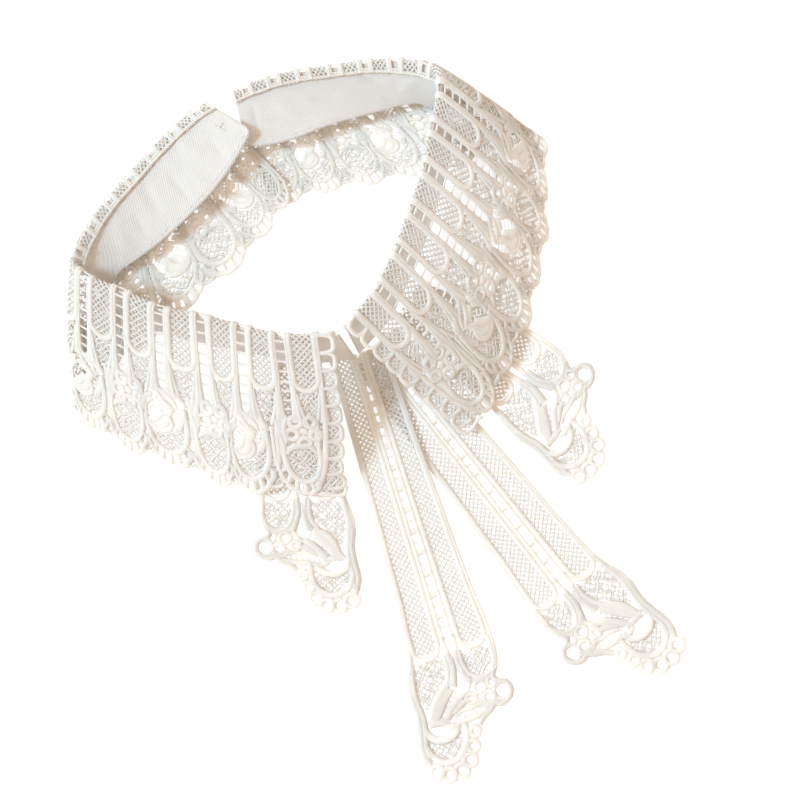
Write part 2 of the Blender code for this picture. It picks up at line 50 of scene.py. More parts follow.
# The collar's sizes and sections, as its solids have them
LACE_THICK = 1.2
TWILL_THICK = 1.0
SEAM_GAP = 0.3
ROLL = TWILL_THICK / 2 + SEAM_GAP + LACE_THICK / 2    # fold's radius, at the lace's middle
CENTRE_X = -1.05
CENTRE_Y = -31.95
LADDER_PITCH = 14.54
FIRST_LADDER = 18.5
LADDER_COUNT = 13
FALL_LENGTH = FIRST_LADDER + (LADDER_COUNT - 0.5) * LADDER_PITCH
FALL_DEPTH = 61.0
LIP_TOP = -5.8
STAND_START = {"left": -1.6, "right": 0.2}
STAND_HEIGHT = 25.0
STAND_CORNER = 3.0
COLUMNS = ("along", "fold_x", "fold_y", "fold_z", "hem_x", "hem_y", "hem_z",
           "bow", "settle", "power", "stand_x", "stand_y", "stand_z")
SECTIONS = {
    "left": (
        (0.0, 2.6, 1.8, 25.5, 24.5, -53.3, 3.6, 1.5, 1.00, 1.0, 2.0, -8.6, 6.0),
        (18.5, 19.8, 10.4, 24.5, 40.7, -44.3, 3.4, 2.0, 1.00, 1.0, 18.8, -1.2, 5.2),
        (33.0, 30.2, 19.4, 23.0, 55.8, -35.6, 2.9, 2.2, 1.00, 1.0, 30.0, 8.0, 4.6),
        (47.6, 41.0, 29.5, 21.5, 65.9, -27.4, 1.6, 2.4, 1.00, 1.0, 41.5, 17.5, 4.2),
        (62.1, 52.6, 38.9, 19.5, 77.4, -12.6, 1.0, 2.6, 1.00, 1.0, 53.0, 27.6, 3.8),
        (76.7, 61.9, 51.1, 17.2, 88.2, -1.8, 1.0, 2.6, 1.00, 1.0, 63.6, 39.5, 3.4),
        (91.2, 70.6, 61.9, 14.5, 95.8, 12.2, 1.9, 2.4, 1.00, 1.1, 68.0, 50.0, 3.2),
        (98.5, 73.2, 68.0, 12.2, 99.0, 17.5, 2.5, 2.2, 1.00, 1.2, 65.6, 54.6, 3.8),
        (105.7, 71.3, 71.6, 9.8, 97.0, 23.0, 1.1, 1.2, 0.90, 1.4, 61.4, 57.2, 4.8),
        (120.3, 62.3, 78.7, 5.8, 82.0, 26.0, 0.6, 0.4, 0.60, 1.8, 54.0, 58.6, 5.6),
        (134.8, 52.6, 83.9, 3.6, 63.5, 30.0, 0.6, 0.0, 0.50, 2.0, 44.3, 59.9, 6.6),
        (149.4, 42.1, 87.8, 2.5, 43.9, 34.6, 0.7, 0.0, 0.40, 2.0, 33.5, 62.3, 7.6),
        (163.9, 31.3, 91.8, 2.2, 22.3, 38.9, 1.2, 0.0, 0.40, 2.0, 22.3, 65.5, 8.6),
        (178.5, 20.7, 95.0, 2.6, 5.8, 45.4, 2.1, 0.0, 0.40, 2.0, 11.5, 69.8, 9.6),
        (193.0, 10.1, 97.2, 3.2, -4.3, 50.8, 2.1, 0.0, 0.40, 2.0, 0.0, 76.3, 10.6),
        (200.3, 4.3, 97.4, 3.5, -9.0, 54.0, 2.1, 0.0, 0.40, 2.0, -5.0, 79.9, 11.0),
    ),
    "right": (
        (0.0, 0.9, 2.2, 25.5, 18.7, -53.6, 3.6, 1.5, 1.00, 1.0, 1.2, -8.2, 6.0),
        (18.5, 17.6, 9.6, 24.8, 36.0, -47.5, 3.4, 2.2, 1.00, 1.0, 18.0, -1.6, 5.2),
        (33.0, 29.8, 18.4, 24.0, 47.9, -38.2, 2.9, 2.6, 1.00, 1.0, 29.8, 7.4, 4.6),
        (47.6, 40.8, 28.2, 22.8, 61.6, -27.4, 1.8, 3.0, 1.00, 1.0, 41.4, 16.8, 4.2),
        (62.1, 51.9, 38.9, 21.0, 72.0, -15.1, 1.2, 3.4, 1.00, 1.0, 52.8, 27.8, 3.8),
        (76.7, 61.2, 50.6, 18.6, 82.1, -2.5, 1.2, 3.6, 1.00, 1.0, 63.4, 39.8, 3.4),
        (91.2, 70.2, 61.2, 15.4, 88.6, 10.8, 2.0, 3.4, 1.00, 1.1, 68.6, 50.4, 3.2),
        (98.5, 73.0, 67.6, 12.8, 92.9, 18.0, 2.6, 2.8, 1.00, 1.2, 67.2, 55.6, 3.8),
        (105.7, 71.3, 71.6, 10.0, 96.5, 26.3, 2.3, 1.4, 0.95, 1.4, 63.4, 59.6, 4.8),
        (120.3, 62.3, 78.7, 5.8, 84.0, 31.0, 0.6, 0.4, 0.60, 1.8, 56.4, 62.8, 5.8),
        (134.8, 52.6, 83.9, 3.4, 65.5, 33.5, 0.6, 0.0, 0.50, 2.0, 48.0, 64.7, 6.8),
        (149.4, 42.1, 87.8, 2.4, 49.0, 38.2, 0.6, 0.0, 0.40, 2.0, 38.2, 67.0, 7.8),
        (163.9, 31.3, 91.8, 2.0, 33.8, 42.6, 0.6, 0.0, 0.40, 2.0, 27.8, 68.9, 8.4),
        (178.5, 20.7, 94.8, 2.0, 18.5, 47.8, 0.6, 0.0, 0.40, 2.0, 16.8, 70.2, 8.4),
        (193.0, 10.0, 96.4, 2.0, 5.0, 50.6, 0.6, 0.0, 0.40, 2.0, 6.6, 73.0, 8.0),
        (200.3, 5.0, 96.6, 2.0, -2.0, 52.0, 0.6, 0.0, 0.40, 2.0, 1.2, 75.6, 7.8),
    ),
}
GRID_STEP = 0.5
GRID_START = -2.6

# Tails: the outline, as places across and down from the root of a whole tail
TAIL_EDGE = (
    (11.5, 33.6), (12.9, 63.4), (14.0, 90.5), (15.0, 105.0), (16.2, 112.0), (18.6, 118.0),
    (19.8, 124.0), (19.4, 131.0), (20.4, 137.5), (21.7, 143.5), (21.0, 148.5), (20.7, 152.6),
    (18.6, 156.2), (14.5, 157.4), (11.6, 158.2), (7.9, 158.1), (4.9, 155.0), (2.6, 152.8),
    (0.4, 150.0), (-0.6, 147.5), (-1.3, 144.8), (-3.0, 140.4), (-5.5, 138.0), (-8.3, 136.6),
    (-10.6, 134.8), (-13.2, 135.4), (-16.4, 134.0), (-17.7, 131.2), (-16.6, 128.4),
    (-13.9, 127.2), (-12.7, 125.2), (-14.2, 122.5), (-15.4, 119.0), (-16.0, 113.0),
    (-15.6, 104.0), (-14.3, 90.5), (-12.9, 63.4), (-11.5, 33.6),
)
TAIL_ROOT = {"long": (10.5, 0.03), "short": (7.5, 0.235)}          # half width, and its growth
TAIL_TAPER = 20.0         # how far that growth holds
TAIL_WAIST = {"long": ((63.4, 12.9), (90.5, 14.1)), "short": ((95.0, 14.8), (100.0, 15.0))}
TAIL_BROAD = (105.0, 15.4)
SHORT_TAIL_STARTS = 63.4
PAD_LINE = 119.0
END_LENGTH = {"long": 1.0, "short": 0.91}
FAN_MIDDLE = 4.1
TAILS = {                 # side, root's x and y, turn, root's and rest's height, hidden length, hook's side
    "tail_long_left": (-1, 3.2, -8.0, 10.6, 4.7, 2.1, 0.0, 1),
    "tail_long_right": (1, 3.2, -8.0, 10.6, 3.2, 0.6, 0.0, 1),
    "tail_short_left": (-1, 23.1, -0.8, 27.5, 4.2, 0.6, SHORT_TAIL_STARTS, -1),
    "tail_short_right": (1, 22.4, 0.4, 27.5, 4.2, 0.6, SHORT_TAIL_STARTS, -1),
}
ROOT_RUN = 20.0
LIFT_ENDS = (-62.0, -88.0)
TAIL_FULL = 15.5          # the half width that a tail's cords are set out for
TAIL_EYELETS = (           # middle and reach of the eyelets round a tail's cup
    (0.4, 142.2, 1.7), (2.6, 147.1, 2.0), (5.1, 151.5, 2.3), (9.1, 154.3, 2.4), (13.7, 154.4, 2.4),
    (18.0, 152.4, 2.4),
)

# The lace's own measures
NET_PITCH = 1.5
NET_THREAD = 0.8
PAD_PITCH = 1.5
PAD_THREAD = 0.8
CORD = 2.1                # the thick outline cords
RAIL = 1.05
BAR = 0.9
CORD_STEP = 0.8           # between two points of a cord
FLATTEN = 0.9             # how sharply a round stroke is pressed to its relief
CORD_LAYER = (1, 0.4, -0.06)        # bevel resolution, half the pressed thickness, height
BAR_LAYER = (1, 0.3, -0.16)
STITCH_LAYER = (0, 0.14, 0.0)
FILL_LAYER = (3, 0.28, -0.04)
THREAD_LAYER = (0, 0.16, -0.22)
LIFT = 0.12               # how far a stroke's own height outlasts the pressing
FINGER_NET = 3.5          # half width of the net in a finger
FINGER_CORD = 4.25        # from a finger's middle to its cord
FINGER_RAIL = 5.35
FINGER_ROUND = 16.2       # where a finger's round end begins
LADDER_BARS = (-4.4, -0.6, 2.9, 6.5, 10.0, 13.6, 17.2, 20.6, 24.0, 27.2)
FRONT_LOOPS = (           # middle, reaches, and whether a net fills it
    (3.0, -2.2, 2.2, 3.1, False), (3.0, 4.1, 2.2, 3.1, False), (3.0, 10.4, 2.2, 3.1, False),
    (3.1, 16.7, 2.2, 3.1, True), (3.2, 23.0, 2.2, 3.1, True), (3.3, 29.4, 2.2, 3.2, True),
    (3.7, 35.9, 2.4, 3.3, True), (4.5, 42.5, 2.5, 3.2, True), (5.6, 48.8, 2.6, 3.0, True),
    (6.0, 54.6, 3.4, 2.8, True),
)
PETAL_REACH = 4.15        # from a flower's middle to its petals'
SCALLOP_BARS = (-76, -51, -26, 0, 26, 51, 76)      # degrees round from straight down
SCALLOP_MIDDLE = 48.0
SCALLOP_INNER = (5.2, 6.8)
SCALLOP_OUTER = (6.7, 11.4)
SCALLOP_EDGE = (6.9, 11.3)


def read_sections(rows, along):
    """Each named column of the table, as a smooth curve read at the lengths along."""
    table = np.array(rows)
    knots = table[:, 0]
    slopes = np.gradient(table, knots, axis=0)
    span = np.clip(np.searchsorted(knots, along) - 1, 0, len(knots) - 2)
    width = knots[span + 1] - knots[span]
    t = ((along - knots[span]) / width)[:, None]
    inside = np.clip(t, 0.0, 1.0)
    overrun = (t - inside) * width[:, None]
    start, end = table[span], table[span + 1]
    start_slope, end_slope = slopes[span] * width[:, None], slopes[span + 1] * width[:, None]
    blend = inside**2 * (3 - 2 * inside)
    values = start + blend * (end - start) + inside * (1 - inside)**2 * start_slope
    values -= inside**2 * (1 - inside) * end_slope
    edge_slope = np.where(t < 0, slopes[span], slopes[span + 1])
    values = values + overrun * edge_slope
    return {name: values[:, i] for i, name in enumerate(COLUMNS)}


def unit(vectors):
    return vectors / np.linalg.norm(vectors, axis=-1, keepdims=True)


def dot(a, b):
    return (a * b).sum(axis=-1, keepdims=True)


def to_frame(x, y, z):
    """Collar millimetres to the frame's metres, never under the surface it lies on."""
    return np.stack([(x - CENTRE_X) * MM, (y - CENTRE_Y) * MM, np.maximum(z, 0.02) * MM], axis=1)


class Surface:
    """A cloth's middle surface over its flat cut, read from a fine grid of places."""

    def __init__(self, first_u, first_v, places, outward, mirrored):
        across = np.gradient(places, axis=0)
        down = np.gradient(places, axis=1)
        normals = outward * unit(np.cross(across, down))
        self.first = (first_u, first_v)
        self.grid = np.concatenate([places, normals], axis=2)
        self.mirrored = mirrored

    def place(self, u, v, w):
        u, v = (u - self.first[0]) / GRID_STEP, (v - self.first[1]) / GRID_STEP
        i = np.clip(u, 0, self.grid.shape[0] - 2).astype(int)
        j = np.clip(v, 0, self.grid.shape[1] - 2).astype(int)
        a, b = (u - i)[:, None], (v - j)[:, None]
        g = self.grid
        mixed = ((1 - a) * (1 - b) * g[i, j] + a * (1 - b) * g[i + 1, j]
                 + (1 - a) * b * g[i, j + 1] + a * b * g[i + 1, j + 1])
        x, y, z = (mixed[:, :3] + w[:, None] * unit(mixed[:, 3:])).T
        return to_frame(-x if self.mirrored else x, y, z)


def half_surfaces(side):
    """The fall's and the neckband's middle surfaces for one half of the collar."""
    along = np.arange(GRID_START, FALL_LENGTH + 1.0, GRID_STEP)
    row = read_sections(SECTIONS[side], along)

    def column(prefix):
        return np.stack([row[prefix + axis] for axis in "_x _y _z".split()], axis=1)

    fold, hem, stand = column("fold"), column("hem"), column("stand")
    tangent = unit(np.gradient(fold, axis=0))
    drop = np.stack([hem[:, 0] - fold[:, 0], hem[:, 1] - fold[:, 1],
                     -(fold[:, 2] - hem[:, 2]) * row["power"] / row["settle"]], axis=1)
    band = stand - fold
    fall_way = unit(drop - dot(drop, tangent) * tangent)
    band_way = unit(band - dot(band, tangent) * tangent)
    bisector = unit(fall_way + band_way)
    middle = fold + ROLL * bisector * np.array([1.0, 1.0, 0.0])
    fall_out = -unit(band_way - dot(band_way, fall_way) * fall_way)
    sweep = math.pi - np.arccos(np.clip(dot(fall_way, band_way), -1, 1))
    half_roll = ROLL * sweep / 2

    down = np.arange(LIP_TOP - 1.0, FALL_DEPTH + 2.0, GRID_STEP)
    places = np.zeros((len(along), len(down), 3))
    start = middle + ROLL * fall_out
    for j, v in enumerate(down):
        angle = np.clip(sweep / 2 - v / ROLL, 0, sweep)
        around = middle + ROLL * (np.cos(angle) * fall_out - np.sin(angle) * fall_way)
        lip = np.clip(-v - half_roll, 0, None) * unit(band)
        t = np.clip((v - half_roll) / (FALL_DEPTH - half_roll), 0, None)
        settled = np.clip(1 - t / row["settle"][:, None], 0, 1) ** row["power"][:, None]
        straight = (hem - start) * t
        straight[:, 2:] = (start[:, 2:] - hem[:, 2:]) * (settled - 1)
        swell = row["bow"][:, None] * 4 * t * np.clip(1 - t, 0, 1) * fall_out
        places[:, j] = around + lip + np.where(t > 0, straight + swell, 0.0)
    fall = Surface(along[0], down[0], places, -1, side == "left")

    height = np.arange(-1.0, STAND_HEIGHT + 1.0, GRID_STEP)
    rise = stand - middle
    places = middle[:, None] + rise[:, None] * (height / STAND_HEIGHT)[None, :, None]
    band = Surface(along[0], height[0], places, 1, side == "left")
    return fall, band


def ease(t):
    t = np.clip(t, 0.0, 1.0)
    return t * t * (3 - 2 * t)


def smooth(points, closed=False, step=CORD_STEP):
    """Points at an even step along a smooth curve through the given ones."""
    p = np.array(points, float)
    if closed:
        ring = np.vstack([p[-1:], p, p[:2]])
    else:
        ring = np.vstack([2 * p[0] - p[1], p, 2 * p[-1] - p[-2]])
    t = np.linspace(0, 1, 8, endpoint=False)[:, None]
    fine = []
    for a, b, c, d in zip(ring, ring[1:], ring[2:], ring[3:]):
        fine.append(0.5 * (2 * b + (c - a) * t + (2 * a - 5 * b + 4 * c - d) * t**2
                           + (3 * b - a - 3 * c + d) * t**3))
    fine = np.vstack(fine + [p[:1] if closed else p[-1:]])
    return even(fine, step)


def even(points, step=CORD_STEP):
    """The same line with its points at an even step."""
    p = np.array(points, float)
    lengths = np.concatenate([[0], np.cumsum(np.linalg.norm(np.diff(p, axis=0), axis=1))])
    count = max(2, int(math.ceil(lengths[-1] / step)) + 1)
    at = np.linspace(0, lengths[-1], count)
    return np.stack([np.interp(at, lengths, p[:, i]) for i in range(2)], axis=1)


def arc(x, y, radius_x, radius_y, start, end, count=9):
    """Points on an ellipse; degrees run from straight down (0) towards +x (90)."""
    turns = np.radians(np.linspace(start, end, count))
    return [(x + radius_x * math.sin(a), y + radius_y * math.cos(a)) for a in turns]


class Lace:
    """Strokes of one lace piece, drawn flat: a stroke is its points, radii and height."""

    def __init__(self, seed):
        self.cords = []
        self.fills = []
        self.bars = []
        self.threads = []
        self.origin = (0.0, 0.0)
        self.chance = np.random.default_rng(seed)

    def add(self, strokes, line, radii, level, closed=False):
        level += self.chance.uniform(-0.2, 0.2)
        strokes.append((np.asarray(line) + self.origin, radii, level, closed))

    def fill(self, points, widths):
        """A broad, flat stretch that closes the grooves between the cords on it."""
        line = smooth(points)
        at = np.linspace(0, 1, len(line))
        self.add(self.fills, line, np.interp(at, np.linspace(0, 1, len(widths)), widths) / 2, 0.0)

    def cord(self, points, width, closed=False, level=0.0, sharp=False):
        line = even(points) if sharp else smooth(points, closed)
        if closed:
            line = line[:-1]
        self.add(self.cords, line, np.full(len(line), width / 2), level, closed)

    def swell(self, points, widths, level=0.05):
        """A satin stretch whose width changes along it."""
        line = smooth(points)
        at = np.linspace(0, 1, len(line))
        radii = np.interp(at, np.linspace(0, 1, len(widths)), widths) / 2
        self.add(self.cords, line, radii, level)

    def bar(self, start, end, width=BAR):
        line = even([start, end])
        self.add(self.bars, line, np.full(len(line), width / 2), -0.05)

    def ring(self, x, y, radius_x, radius_y, width):
        self.cord(arc(x, y, radius_x, radius_y, 0, 330, 12), width, closed=True)

    def net(self, polygon, pitch=NET_PITCH, width=NET_THREAD, turn=45.0, wobble=0.0, level=-0.12):
        """Crossing threads that fill a polygon; wobble makes an irregular, hand-worked ground."""
        corners = np.array(polygon, float)
        for way in (turn, turn + 90.0):
            c, s = math.cos(math.radians(way)), math.sin(math.radians(way))
            along, across = corners @ (c, s), corners @ (-s, c)
            first = math.ceil((across.min() + np.dot(self.origin, (-s, c))) / pitch) * pitch
            for offset in np.arange(first - np.dot(self.origin, (-s, c)), across.max(), pitch):
                offset += self.chance.uniform(-0.5, 0.5) * wobble
                crossings = []
                for k in range(len(corners)):
                    a0, a1 = across[k - 1] - offset, across[k] - offset
                    if (a0 > 0) != (a1 > 0):
                        crossings.append(along[k - 1] + (along[k] - along[k - 1]) * a0 / (a0 - a1))
                crossings.sort()
                for t0, t1 in zip(crossings[::2], crossings[1::2]):
                    self.thread(t0 - 0.4, t1 + 0.4, offset, (c, s), width, wobble, level)

    def thread(self, t0, t1, offset, way, width, wobble, level):
        c, s = way
        count = max(2, int((t1 - t0) / 1.05) + 1)
        t = np.linspace(t0, t1, count)
        sway = self.chance.normal(0, 0.45 * wobble, count) if wobble else np.zeros(count)
        line = np.stack([t * c - (offset + sway) * s, t * s + (offset + sway) * c], axis=1)
        radii = np.full(count, width / 2)
        if wobble:
            radii = radii * self.chance.uniform(0.7, 1.45, count)
        self.add(self.threads, line, radii, level)


def draw_finger(lace, u):
    """A net finger: its net, its round-ended cord, the rails beside it and the ground below."""
    lace.origin = (u, 0.0)
    top = LIP_TOP
    net = [(-FINGER_NET, top), (-FINGER_NET, FINGER_ROUND)]
    net += arc(0, FINGER_ROUND, FINGER_NET, FINGER_NET, -80, 80)
    net += [(FINGER_NET, FINGER_ROUND), (FINGER_NET, top)]
    lace.net(net)
    outline = [(-FINGER_CORD, top)] + arc(0, FINGER_ROUND, FINGER_CORD, FINGER_CORD, -90, 90, 13)
    lace.cord(outline + [(FINGER_CORD, top)], CORD, sharp=True)
    ground = [(-3.6, 21.0), (0, 22.0), (3.6, 21.0), (3.3, 25.0), (2.4, 29.5), (1.0, 33.0), (-1.0, 33.0),
              (-2.4, 29.5), (-3.3, 25.0)]
    lace.net(ground, PAD_PITCH, PAD_THREAD, wobble=0.55)
    for side in (-1, 1):
        rail = [(side * FINGER_RAIL, v) for v in (top, 2.0, 9.0, 15.0, 20.0, 25.0)]
        lace.cord(rail + [(side * 5.6, 28.5), (side * 6.3, 31.0)], RAIL)
        lace.swell([(side * 4.5, 18.6), (side * 4.45, 21.5), (side * 4.3, 25.0), (side * 4.1, 28.5),
                    (side * 3.6, 32.0)], (0.9, 1.5, 1.9, 2.2, 1.8))
        lace.fill([(side * 4.9, 17.0), (side * 4.7, 24.0), (side * 5.0, 32.0)], (1.6, 2.6, 3.0))
        lace.swell([(side * 3.7, 21.4), (side * 3.3, 25.5), (side * 2.5, 29.5), (side * 1.3, 33.4)],
                   (0.9, 1.2, 1.4, 1.2))


def draw_ladder(lace, u):
    """The bars of a ladder between two fingers' rails, and the point that ends it."""
    lace.origin = (u, 0.0)
    half = LADDER_PITCH / 2 - FINGER_RAIL
    for v in LADDER_BARS:
        lace.bar((-half, v), (half, v))
    lace.cord([(-1.9, 28.4), (-1.2, 30.0), (0, 30.8), (1.2, 30.0), (1.9, 28.4)], 1.3)


def draw_flower(lace, u):
    """Five eyed petals over an oval pad of irregular ground, a little to the front."""
    lace.origin = (u, 0.0)
    lace.cord([(-6.4, 41.0), (-6.6, 46.5), (-5.2, 51.4), (-3.2, 54.0), (-0.8, 54.8), (1.8, 54.0),
               (4.0, 51.2), (5.1, 46.5), (5.0, 41.0), (5.6, 36.5)], 2.2)
    for turn in range(-126, 234, 72):
        a = math.radians(turn)
        lace.ring(PETAL_REACH * math.cos(a) - 2.2, 35.3 + PETAL_REACH * math.sin(a), 1.95, 1.85, 2.15)
    lace.swell([(-3.4, 35.3), (-2.2, 35.3), (-1.0, 35.3)], (1.8, 3.6, 1.8), 0.12)
    lace.net(arc(-0.9, 47.0, 4.9, 6.3, 0, 345, 24), PAD_PITCH, PAD_THREAD, wobble=0.55)
    lace.swell([(-5.6, 43.8), (-4.3, 41.6), (-2.0, 41.0), (1.2, 41.2), (3.2, 42.0), (4.2, 44.0)],
               (1.2, 2.2, 1.8, 2.0, 2.2, 1.2))
    lace.swell([(3.0, 30.4), (4.2, 34.4), (3.8, 39.6)], (1.8, 2.6, 2.2))
    lace.swell([(6.6, 30.6), (6.2, 33.6), (5.6, 37.0)], (1.6, 1.9, 1.8))
    lace.swell([(-7.0, 31.0), (-7.2, 35.0), (-6.6, 41.5)], (1.8, 1.5, 1.7))
    lace.fill([(4.4, 30.4), (5.4, 35.0), (5.2, 40.5), (5.6, 45.0)], (2.8, 3.4, 3.2, 2.2))
    lace.fill([(-6.6, 31.4), (-6.8, 36.0), (-6.0, 41.0)], (2.6, 2.4, 2.4))
    lace.fill([(-4.6, 40.6), (-1.4, 40.6), (2.4, 40.8)], (1.6, 2.0, 2.0))


def draw_paisley(lace, u):
    """A hooked comma, a crescent of ground under it and leaves with slits between them."""
    lace.origin = (u, 0.0)
    lace.cord([(-6.3, 36.0), (-6.8, 42.5), (-6.1, 48.0), (-4.2, 52.2), (-1.2, 54.5), (2.2, 53.8),
               (4.9, 50.8), (6.2, 46.5), (6.5, 42.0)], 2.2)
    ground = [(-5.7, 42.0), (-4.0, 42.6), (-2.9, 45.6), (-0.8, 48.0), (2.4, 48.8), (4.4, 47.6),
              (4.0, 50.6), (1.8, 52.8), (-0.8, 53.4), (-3.6, 51.6), (-5.3, 48.0)]
    lace.net(ground, PAD_PITCH, PAD_THREAD, wobble=0.5)
    lace.fill([(-2.2, 37.0), (-0.6, 39.8), (0.0, 42.8), (1.8, 44.9), (4.4, 44.9)],
              (2.4, 3.0, 3.4, 3.2, 2.6))
    lace.fill([(0.8, 38.8), (2.2, 41.4), (4.2, 43.4), (6.2, 44.2)], (2.2, 3.0, 3.0, 2.2))
    lace.fill([(-1.4, 37.0), (1.2, 36.0), (3.2, 34.2)], (1.8, 2.2, 2.0))
    lace.fill([(4.0, 34.8), (6.4, 37.2), (7.4, 40.4)], (2.6, 3.0, 2.2))
    lace.fill([(-6.6, 35.0), (-4.6, 32.2), (-1.8, 30.2)], (2.4, 3.2, 2.4))
    lace.fill([(-6.2, 36.0), (-5.6, 40.2), (-3.9, 43.8)], (2.2, 2.4, 2.4))
    lace.swell([(6.0, 43.6), (4.0, 46.2), (1.2, 46.5), (-1.2, 44.9), (-2.0, 42.4), (-1.2, 40.4),
                (0.8, 40.4), (1.8, 42.0)], (1.5, 2.3, 2.5, 2.4, 2.0, 1.8, 1.6, 1.2))
    lace.swell([(-6.4, 35.6), (-6.0, 39.8), (-4.6, 43.2)], (1.4, 1.7, 1.5))
    lace.swell([(3.9, 33.2), (6.4, 35.6), (7.4, 39.0)], (1.6, 2.3, 1.5))
    for k in range(5):
        x, y = 2.3 + 1.1 * k, 37.0 + 1.25 * k
        lace.bar((x - 0.8, y + 0.7), (x + 0.8, y - 0.7), 0.65)
    for k in range(4):
        y = 38.0 + 1.5 * k
        lace.bar((-5.4 + 0.35 * k, y + 0.5), (-2.6 + 0.35 * k, y - 0.5), 0.7)
    slit_leaf(lace, (-4.0, 36.8), (2.4, 30.6), 2.2, 6)


def slit_leaf(lace, start, end, width, slits):
    """Two satin halves either side of a midrib of small slits."""
    (x0, y0), (x1, y1) = start, end
    length = math.hypot(x1 - x0, y1 - y0)
    nx, ny = -(y1 - y0) / length, (x1 - x0) / length
    apart = width * 0.5 + 0.4
    for side in (-1, 1):
        half = [(x0 + side * nx * 0.4, y0 + side * ny * 0.4),
                ((x0 + x1) / 2 + side * nx * apart, (y0 + y1) / 2 + side * ny * apart),
                (x1 + side * nx * 0.4, y1 + side * ny * 0.4)]
        lace.swell(half, (0.7, 0.95 * width, width, 0.95 * width, 0.7), 0.08)
    for k in range(slits):
        t = (k + 0.8) / (slits + 0.6)
        x, y = x0 + (x1 - x0) * t, y0 + (y1 - y0) * t
        lace.bar((x - nx * 0.9, y - ny * 0.9), (x + nx * 0.9, y + ny * 0.9), 0.6)


def draw_scallop(lace, u):
    """A ring of eyelets under a cup, with the edge cord swelling round each."""
    lace.origin = (u - 0.5, 0.0)
    for turn in SCALLOP_BARS:
        ends = arc(0, SCALLOP_MIDDLE, *SCALLOP_INNER, turn, turn, 1)
        ends += arc(0, SCALLOP_MIDDLE, *SCALLOP_OUTER, turn, turn, 1)
        lace.cord(ends, 1.7, sharp=True)
    across, down = SCALLOP_EDGE
    edge = []
    for start, end in zip(SCALLOP_BARS, SCALLOP_BARS[1:]):
        for t in (0.0, 0.33, 0.67):
            bulge = 0.45 * math.sin(math.pi * t)
            edge += arc(0, SCALLOP_MIDDLE, across + bulge, down + bulge, start + (end - start) * t, 0, 1)
    edge += arc(0, SCALLOP_MIDDLE, across, down, SCALLOP_BARS[-1], 0, 1)
    lace.cord(edge, 2.0)


def draw_between(lace, u):
    """What fills the space between two motifs, on a finger's middle."""
    lace.origin = (u, 0.0)
    lace.net([(-1.9, 51.0), (1.9, 51.0), (2.3, 54.5), (1.4, 57.0), (-1.4, 57.0), (-2.3, 54.5)],
             PAD_PITCH, PAD_THREAD, wobble=0.3)
    for side in (-1, 1):
        lace.swell([(side * 0.9, 34.0), (side * 1.05, 39.0), (side * 1.0, 44.0), (side * 1.5, 49.0),
                    (side * 2.6, 53.0)], (1.2, 1.2, 1.1, 1.1, 1.0))
    for v in np.arange(35.5, 51.0, 1.9):
        lace.bar((-1.1, v), (1.1, v), 0.85)
    lace.cord([(-2.3, 56.2), (0, 57.2), (2.3, 56.2)], 1.5)


def draw_front_edge(lace):
    """A chain of eyelets and net loops down the front edge, wider towards its corner."""
    lace.origin = (0.0, 0.0)
    for x, y, reach_x, reach_y, netted in FRONT_LOOPS:
        bow = [(x + 2.6, y - reach_y), (x + 0.6, y - reach_y), (x - 0.8 * reach_x, y - 0.7 * reach_y),
               (x - reach_x, y), (x - 0.8 * reach_x, y + 0.7 * reach_y), (x + 0.6, y + reach_y),
               (x + 2.6, y + reach_y)]
        if netted:
            lace.net(bow, PAD_PITCH, PAD_THREAD, wobble=0.35)
        lace.cord(bow, 1.6)
    lace.cord([(6.0, v) for v in (LIP_TOP, 4.0, 12.0, 21.0)], 1.2)
    lace.swell([(6.4, 20.0), (6.5, 27.0), (6.9, 34.0), (7.6, 41.0), (8.8, 48.0), (10.6, 53.2),
                (13.0, 56.4)], (1.4, 1.8, 2.0, 2.2, 2.4, 2.4, 1.8))
    lace.net([(8.6, 54.0), (10.6, 54.6), (13.0, 57.6), (11.6, 58.8), (9.0, 58.0)], PAD_PITCH, PAD_THREAD)
    lace.cord([(2.2, 56.4), (3.4, 59.4), (6.4, 60.2), (9.6, 59.4), (12.2, 59.6)], 1.5)


def fall_lace(side):
    """The whole lace fall of one half."""
    lace = Lace(11 if side == "left" else 12)
    ladders = [FIRST_LADDER + k * LADDER_PITCH for k in range(LADDER_COUNT)]
    for k, u in enumerate(ladders):
        draw_finger(lace, u - LADDER_PITCH / 2)
        draw_ladder(lace, u)
        if k % 2:
            draw_paisley(lace, u)
        else:
            draw_flower(lace, u - (1.8 if k == 0 else 0.0))
        draw_scallop(lace, u - (1.2 if k == 0 else 0.0))
        if k > 0:
            draw_between(lace, u - LADDER_PITCH / 2)
    draw_front_edge(lace)
    lace.swell([(23.0, 32.0), (23.3, 38.0), (23.6, 45.0), (24.4, 51.0)], (1.6, 2.0, 1.8, 1.4))
    end, last = FALL_LENGTH - 0.7, ladders[-1]
    lace.cord([(end, LIP_TOP), (end, 20), (end, 40), (end, 54)], 1.4)
    lace.cord([(last + LADDER_PITCH / 2 - FINGER_RAIL, v) for v in (LIP_TOP, 5, 12, 20)]
              + [(last + 3.2, 26), (last + 5.0, 33)], RAIL)
    half_finger = [(last + 3.3, LIP_TOP), (end, LIP_TOP), (end, 54.0), (last + 5.6, 54.0), (last + 6.4, 36),
                   (last + 4.2, 26)]
    lace.net(half_finger)
    lace.cord([(0.4, LIP_TOP + 0.4)] + [(u, LIP_TOP + 0.4) for u in np.arange(4.0, FALL_LENGTH, 4.0)], 1.1)
    return lace


def tail_half_width(d, kind, first_d):
    """Half the tail's width above its patterned end."""
    root, growth = TAIL_ROOT[kind]
    first = ((first_d, root), (first_d + TAIL_TAPER, root + growth * TAIL_TAPER))
    at, half = zip(*first, *TAIL_WAIST[kind], TAIL_BROAD)
    return np.interp(d, at, half)


